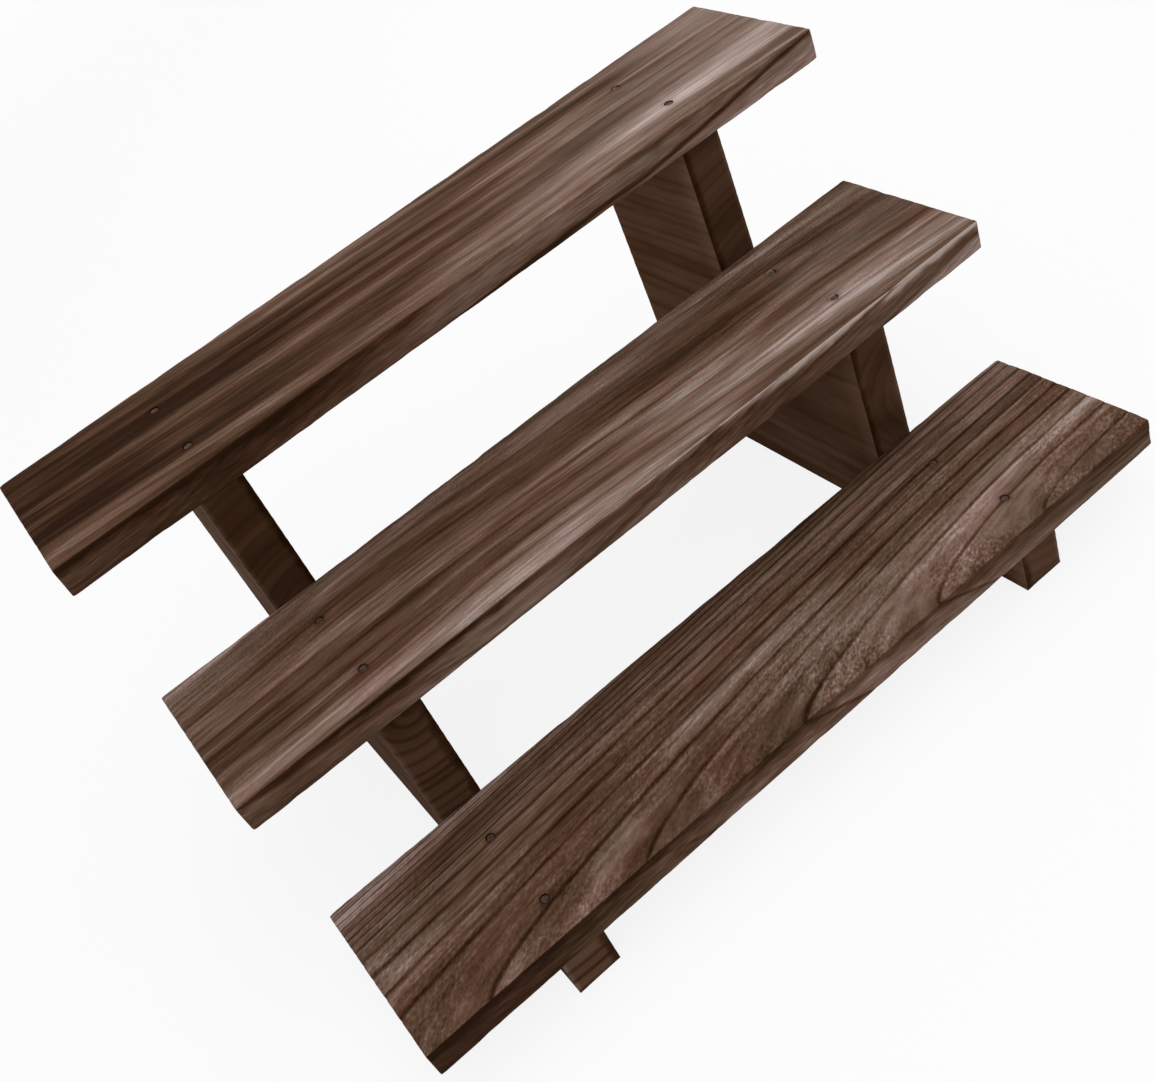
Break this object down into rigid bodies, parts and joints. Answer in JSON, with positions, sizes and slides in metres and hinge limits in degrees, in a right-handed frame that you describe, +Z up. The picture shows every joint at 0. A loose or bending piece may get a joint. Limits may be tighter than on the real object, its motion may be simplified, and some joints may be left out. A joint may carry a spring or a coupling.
{
  "type": "stepped display rack",
  "caption": "Free-standing stepped display rack of scorched wood: flat treads rise from front to back, nailed on stair-cut side panels, to show small goods on a counter.",
  "frame": {"origin": "on the ground, under the middle of the rack's outline", "axes": "+X along the treads to the right seen from the front, +Y from the front to the back, +Z up"},
  "size_m": [0.4, 0.2444, 0.203],
  "materials": {
    "tread_wood": "scorched, wire-brushed softwood with a satin sheen",
    "panel_wood": "scorched softwood, sawn end grain on the risers, matte",
    "nail_steel": "darkened bright-drawn steel"
  },
  "bodies": {
    "root": {"left_side_panel": "panel_wood", "right_side_panel": "panel_wood", "lower_tread": "tread_wood", "middle_tread": "tread_wood", "upper_tread": "tread_wood", "lower_tread_nails": "nail_steel", "middle_tread_nails": "nail_steel", "upper_tread_nails": "nail_steel"}
  },
  "joints": []
}
